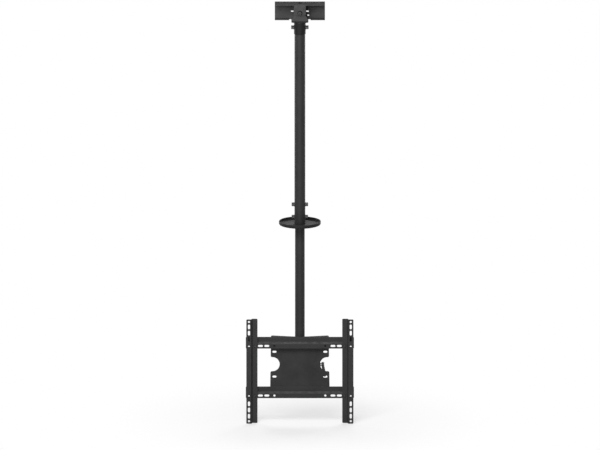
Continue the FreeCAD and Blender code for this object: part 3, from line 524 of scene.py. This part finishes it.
bracket_half, bracket_middles, bracket_stitch, bracket_seam = 36, (-48, 0, 48), 12, -25.4
foot_middles, foot_stitch, foot_seam, foot_level = (-84, -30, 30, 84), 11, -28.2, -1561.7
flank_column, flank_seam, flank_top, flank_stitch = 113.9, -28.0, -1344, 12
stitches = [stitch(middle, bracket_stitch, bracket_seam, tilt_level + side * bracket_half)
            for side in SIDES for middle in bracket_middles]
stitches += [stitch(middle, foot_stitch, foot_seam, foot_level) for middle in foot_middles]
for side in SIDES:
    flank = [(side * flank_column, flank_seam, flank_top - step)
             for step in range(0, flank_stitch + 1, STITCH_STEP)]
    stitches.append((flank, False))
welds("bracket_welds", "screen_head", stitches, wide_drop)
arm_column, arm_rows = 176, (-1373, -1573)
arm_radius, arm_pitch, arm_chamfer = 3.0, 1.0, 0.2
arm_nut_back = corners_mm("arm_nuts")[1][BACK]
arm_end = corners_mm("arm_screws")[1][BACK] - arm_nut_back - arm_chamfer
threads("arm_threads", "screen_head",
        [((side * arm_column, arm_nut_back, row), ALONG_Y, arm_radius, arm_end, arm_pitch)
         for side in SIDES for row in arm_rows])

# Clamping lever: a black moulded handle on the end of a turned steel bush, which screws onto
# the tilt bolt and clamps the head at its angle. The bush is left bright.


def turned_steel(name):
    finish = Finish(bpy.data.materials.new(name))
    spot = finish.node("TexCoord", out="Object")
    along = finish.node("SeparateXYZ", {}, {"Vector": spot}, out="X")
    wobble = finish.noise(200) * 3.0
    rings = finish.node("Math", {"operation": "SINE"}, {0: along * 9000.0 + wobble})
    stain = finish.noise(180, detail=4)
    colour = finish.blend(stain, grey(0.34, 0.03), grey(0.52, 0.02))
    roughness = 0.30 + (stain - 0.5) * 0.16 + rings * 0.04
    return finish.surface(colour, roughness, rings, depth=0.00004, even={"Metallic": 1.0})


dress(turned_steel("turned_steel"), "lever_bush")
dress(moulded_black, "clamp_lever")

# Floor: one pale matt sheet just under the mount. It shows white to the camera and in
# reflections, but near the pole's axis the shadow stays.
WHITE = (1, 1, 1, 1)


def seen_rays(finish):
    """1 for rays that show the ground, straight or in metal or glass, and 0 for its light."""
    rays = ("Is Camera Ray", "Is Glossy Ray", "Is Transmission Ray")
    straight, mirrored, through = [finish.node("LightPath", out=ray) for ray in rays]
    return straight + mirrored + through


def pale_floor(name):
    finish = Finish(bpy.data.materials.new(name))
    matt = finish.node("BsdfDiffuse", {}, {"Color": grey(0.50)})
    glow = finish.node("Emission", {}, {"Color": WHITE, "Strength": 1.0})
    far = finish.node("MapRange", {"interpolation_type": "SMOOTHSTEP"},
                      {"Value": from_pole(finish), "From Min": 0.15, "From Max": 0.8,
                       "To Min": 0.52, "To Max": 1.0})
    share = finish.node("MixShader", {}, {0: seen_rays(finish) * far, 1: matt, 2: glow})
    finish.node("OutputMaterial", {}, {"Surface": share})
    return finish.owner


floor_gap = 0.0015
floor_level = cad_box[0][2] - floor_gap
left, right, front, rear = -9, 9, -7, 12
sheet = bpy.data.meshes.new("floor")
sheet.from_pydata([(left, front, floor_level), (right, front, floor_level),
                   (right, rear, floor_level), (left, rear, floor_level)], [], [(0, 1, 2, 3)])
sheet.materials.append(pale_floor("pale_floor"))
floor = bpy.data.objects.new("floor", sheet)
bpy.context.scene.collection.objects.link(floor)

# Studio light: an even surround, white where it is seen, with two soft lamps in front of the
# mount and three behind it, so that no side is left dark.
studio = bpy.data.worlds.new("studio")
bpy.context.scene.world = studio
surround = Finish(studio)
soft = surround.node("Background", {}, {"Color": WHITE, "Strength": 0.28})
backdrop = surround.node("Background", {}, {"Color": WHITE, "Strength": 1.0})
both = surround.node("MixShader", {}, {0: seen_rays(surround), 1: soft, 2: backdrop})
surround.node("OutputWorld", {}, {"Surface": both})


def lamp(name, spot, target, size, watts):
    """A square lamp at a spot, turned to its target."""
    light = bpy.data.lights.new(name, "AREA")
    light.shape = "SQUARE"
    light.size = size
    light.energy = watts
    item = bpy.data.objects.new(name, light)
    bpy.context.scene.collection.objects.link(item)
    item.location = spot
    item.rotation_euler = (Vector(target) - Vector(spot)).to_track_quat("-Z", "Y").to_euler()


lamp("key", (-0.6, -2.0, 1.0), target=(0, 0, -1.05), size=1.3, watts=108)
lamp("fill", (-0.3, -2.5, -0.9), target=(0, 0, -1.1), size=1.2, watts=26)
lamp("back_top", (0.4, 1.9, 1.0), target=(0, 0, -1.0), size=1.3, watts=50)
lamp("back_right", (1.6, 2.1, -0.2), target=(0, 0, -0.9), size=1.4, watts=40)
lamp("back_left", (-1.9, 1.8, -0.3), target=(0, 0, -0.9), size=1.4, watts=30)

# Camera: square to the mount's front, without perspective, looking down on it a little, as in
# the photograph.
picture_width, distance, far_limit = 2.358, 6, 50
looking_down = math.radians(13)
aim = Vector((0.0005, 0, -0.895))
lens = bpy.data.cameras.new("camera")
lens.type = "ORTHO"
lens.ortho_scale = picture_width
lens.clip_end = far_limit
camera = bpy.data.objects.new("camera", lens)
bpy.context.scene.collection.objects.link(camera)
camera.location = aim - distance * Vector((0, math.cos(looking_down), -math.sin(looking_down)))
camera.rotation_euler = (math.radians(90) - looking_down, 0, 0)
bpy.context.scene.camera = camera
bpy.context.scene.view_settings.view_transform = "Standard"
